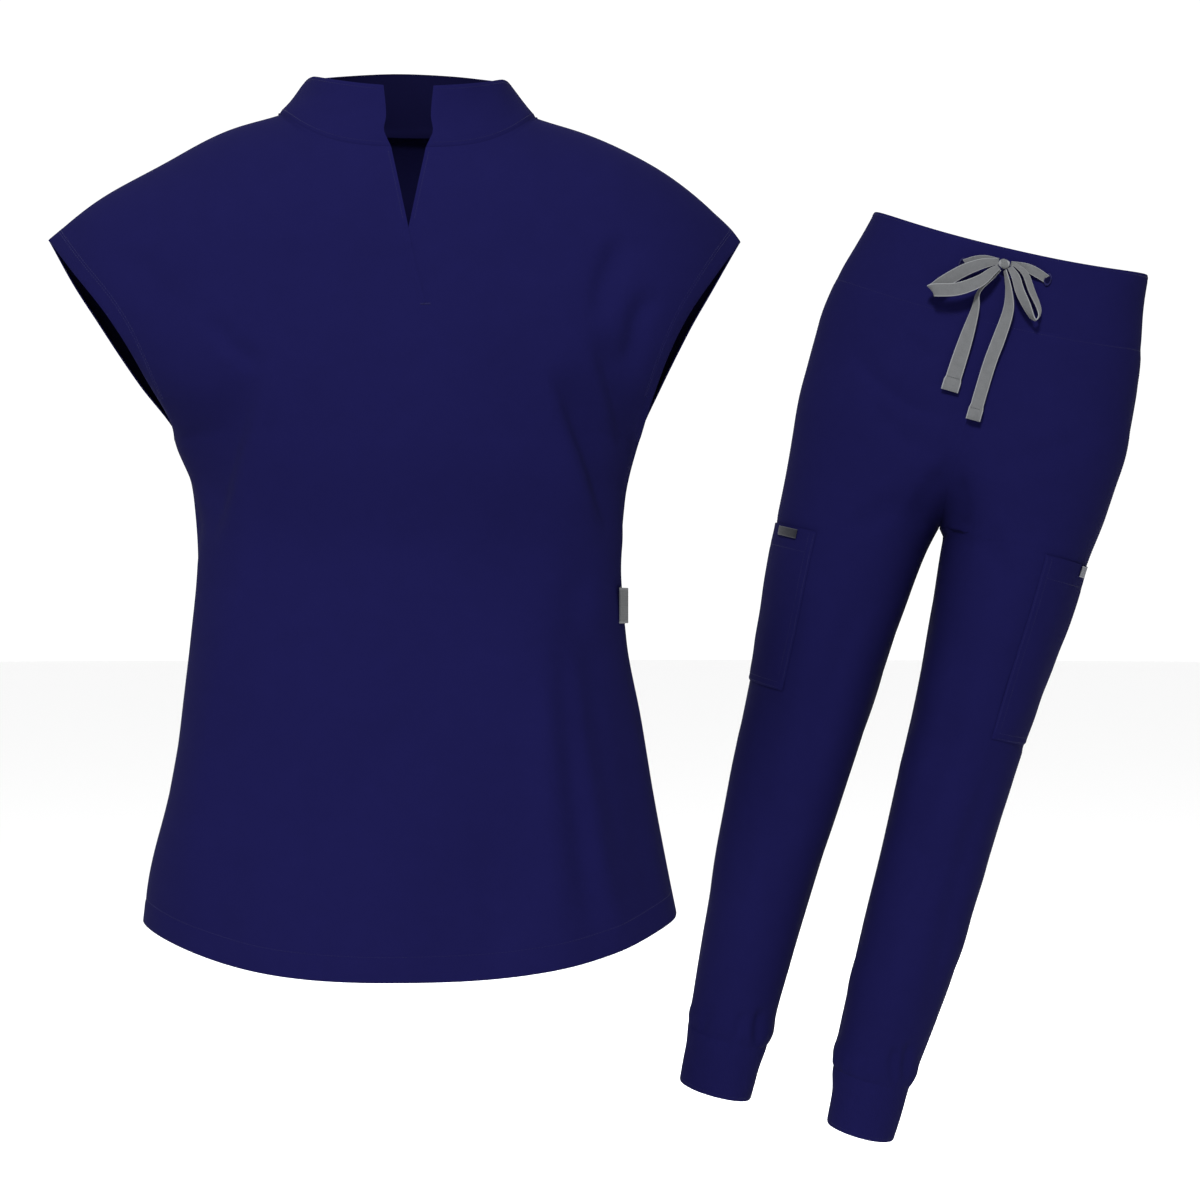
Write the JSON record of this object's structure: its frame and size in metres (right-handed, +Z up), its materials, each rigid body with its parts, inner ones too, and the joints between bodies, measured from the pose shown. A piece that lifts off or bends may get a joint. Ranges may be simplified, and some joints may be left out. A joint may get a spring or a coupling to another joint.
{
  "type": "medical scrubs tunic and drawstring jogger trousers",
  "caption": "Medical scrubs set: a short-sleeved stand-collar tunic with a notched neck, and drawstring jogger trousers with cargo pockets and rib cuffs, hollow and filled out.",
  "frame": {"origin": "the centre of the tunic's neck, level with the side points where the neck seam meets the shoulders, where the wearer's neck holds the set up", "axes": "+Z up, the tunic's front faces -Y, +X to the viewer's right (the wearer's left); the trousers lean and turn beside the tunic, to its right, lower and 0.40 m further back"},
  "size_m": [1.0249, 0.6785, 0.991],
  "materials": {
    "navy_twill": "matte",
    "navy_rib": "matte",
    "grey_tape": "matte",
    "tab_tape": "matte"
  },
  "bodies": {
    "root": {"top_front": "navy_twill", "top_back": "navy_twill", "collar": "navy_twill", "side_tab": "tab_tape", "waistband": "navy_twill", "trousers_front_left": "navy_twill", "trousers_front_right": "navy_twill", "trousers_back_left": "navy_twill", "trousers_back_right": "navy_twill", "cuff_left": "navy_rib", "cuff_right": "navy_rib", "cargo_pocket_left": "navy_twill", "cargo_pocket_right": "navy_twill", "pocket_tab_left": "tab_tape", "pocket_tab_right": "tab_tape", "tape_exit_left": "grey_tape", "tape_exit_right": "grey_tape", "tape_knot": "grey_tape", "tape_loop_left": "grey_tape", "tape_loop_right": "grey_tape", "tape_tail_left": "grey_tape", "tape_tail_right": "grey_tape"}
  },
  "joints": []
}
